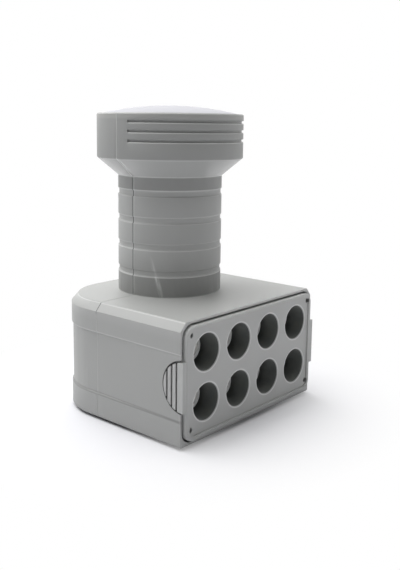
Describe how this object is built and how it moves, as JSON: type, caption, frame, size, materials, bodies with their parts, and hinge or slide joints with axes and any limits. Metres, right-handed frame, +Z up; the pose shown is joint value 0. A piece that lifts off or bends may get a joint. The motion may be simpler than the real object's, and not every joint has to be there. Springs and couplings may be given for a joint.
{
  "type": "satellite lnb",
  "caption": "Low-noise block downconverter for a satellite dish: ringed neck with a domed feed head, boxy body, and a sliding weather cover over rows of F sockets.",
  "frame": {"origin": "the neck's axis on the flat face that the body stands on", "axes": "+Z up the neck to the feed, the ports face -Y, +X to the right seen from the ports"},
  "size_m": [0.0768, 0.0706, 0.1133],
  "materials": {
    "housing_grey": "fine-grained grey injection moulding",
    "boot_black": "black moulded rubber",
    "cap_white": "smooth off-white weatherproof plastic",
    "cast_metal": "bare light die casting",
    "seal_rubber": "black rubber",
    "insulator_white": "white plastic",
    "contact_metal": "plated spring metal",
    "board_laminate": "green varnished laminate",
    "chip_black": "black moulded package",
    "crystal_can": "plain metal can",
    "screw_steel": "plated steel"
  },
  "bodies": {
    "housing": {"backshort_cup": "cast_metal", "backshort_screws": "screw_steel", "board_screws": "screw_steel", "cap_seal": "seal_rubber", "centre_contact_1": "contact_metal", "centre_contact_2": "contact_metal", "centre_contact_3": "contact_metal", "centre_contact_4": "contact_metal", "centre_contact_5": "contact_metal", "centre_contact_6": "contact_metal", "centre_contact_7": "contact_metal", "centre_contact_8": "contact_metal", "chassis_casting": "cast_metal", "chassis_lid": "cast_metal", "circuit_board": "board_laminate", "downconverter_chip": "chip_black", "feed_cap": "cap_white", "front_shell": "housing_grey", "horizontal_probe": "contact_metal", "lid_gasket": "seal_rubber", "lid_screws": "screw_steel", "rear_shell": "housing_grey", "reference_crystal": "crystal_can", "socket_insulator_1": "insulator_white", "socket_insulator_2": "insulator_white", "socket_insulator_3": "insulator_white", "socket_insulator_4": "insulator_white", "socket_insulator_5": "insulator_white", "socket_insulator_6": "insulator_white", "socket_insulator_7": "insulator_white", "socket_insulator_8": "insulator_white", "switch_chip": "chip_black", "vertical_probe": "contact_metal", "voltage_regulator": "chip_black"},
    "cover": {"weather_cover": "housing_grey", "port_boot_1": "boot_black", "port_boot_2": "boot_black", "port_boot_3": "boot_black", "port_boot_4": "boot_black", "port_boot_5": "boot_black", "port_boot_6": "boot_black", "port_boot_7": "boot_black", "port_boot_8": "boot_black"}
  },
  "joints": [
    {"name": "weather_cover_slide", "type": "slide", "parent": "housing", "child": "cover", "axis": [0, -1, 0], "range_m": [0, 0.022]}
  ]
}
